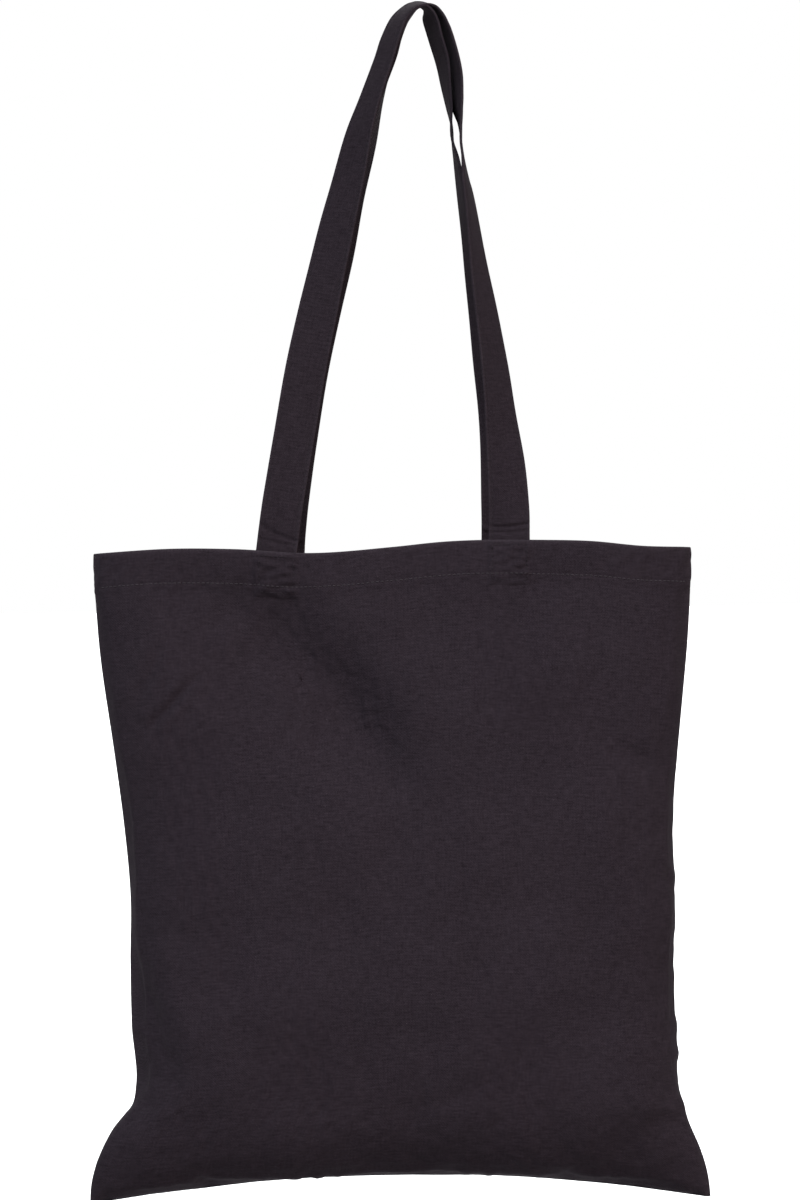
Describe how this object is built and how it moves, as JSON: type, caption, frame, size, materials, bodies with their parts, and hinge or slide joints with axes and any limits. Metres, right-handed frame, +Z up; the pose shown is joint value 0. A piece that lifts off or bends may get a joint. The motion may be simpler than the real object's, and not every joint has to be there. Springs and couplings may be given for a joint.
{
  "type": "canvas tote bag",
  "caption": "Open-topped canvas tote bag hanging from two long shoulder handles, with a folded hem, side and bottom seams, and straps sewn inside the mouth.",
  "frame": {"origin": "the hang point: the underside of the back handle at its highest place, where the bag hangs on a hook or rod", "axes": "+X to the right seen from the front, +Y to the back, +Z up"},
  "size_m": [0.3806, 0.1146, 0.7355],
  "materials": {
    "canvas": "matt plain-weave cotton canvas, near-black charcoal",
    "strap": "matt folded cotton canvas strap, near-black charcoal",
    "thread": "fine twisted sewing thread, charcoal, a little lighter than the cloth"
  },
  "bodies": {
    "bag": {"front_panel": "canvas", "back_panel": "canvas", "left_side_seam": "canvas", "right_side_seam": "canvas", "bottom_seam": "canvas", "front_handle_left_end": "strap", "front_handle_right_end": "strap", "back_handle_left_end": "strap", "back_handle_right_end": "strap", "front_hem_stitching": "thread", "back_hem_stitching": "thread", "front_left_box_stitching": "thread", "front_right_box_stitching": "thread", "back_left_box_stitching": "thread", "back_right_box_stitching": "thread", "left_overlock": "thread", "right_overlock": "thread", "bottom_overlock": "thread"},
    "front_handle": {"front_handle": "strap", "front_handle_stitching": "thread"},
    "back_handle": {"back_handle": "strap", "back_handle_stitching": "thread"}
  },
  "joints": [
    {"name": "front_handle_swing", "type": "hinge", "parent": "bag", "child": "front_handle", "pos_m": [-0.0205, -0.028, -0.3282], "axis": [1, 0, 0], "range_deg": [0, 165]},
    {"name": "back_handle_swing", "type": "hinge", "parent": "bag", "child": "back_handle", "pos_m": [-0.0205, 0.0281, -0.3282], "axis": [-1, 0, 0], "range_deg": [0, 165]}
  ]
}
